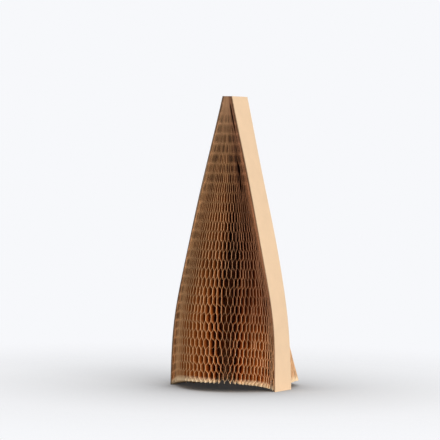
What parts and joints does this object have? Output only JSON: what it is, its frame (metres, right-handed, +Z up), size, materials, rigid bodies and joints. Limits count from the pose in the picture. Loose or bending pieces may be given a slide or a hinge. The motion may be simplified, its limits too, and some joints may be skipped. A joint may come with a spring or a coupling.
{
  "type": "honeycomb paper sleeve",
  "caption": "Kraft paper honeycomb sleeve for protecting a bottle, spread open at its lower end and pinched shut at its top, with plain cover strips down both sides.",
  "frame": {"origin": "on the floor, under the middle of the whole outline", "axes": "+Z up along the sleeve towards its pinched end, +X towards the right cover, -Y towards the front panel"},
  "size_m": [0.1054, 0.1187, 0.259],
  "materials": {
    "honeycomb_paper": "matt unbleached kraft paper, tan at its cut edges",
    "cover_card": "smooth matt pale kraft card"
  },
  "bodies": {
    "root": {"front_honeycomb": "honeycomb_paper", "back_honeycomb": "honeycomb_paper", "left_cover": "cover_card", "right_cover": "cover_card"}
  },
  "joints": []
}
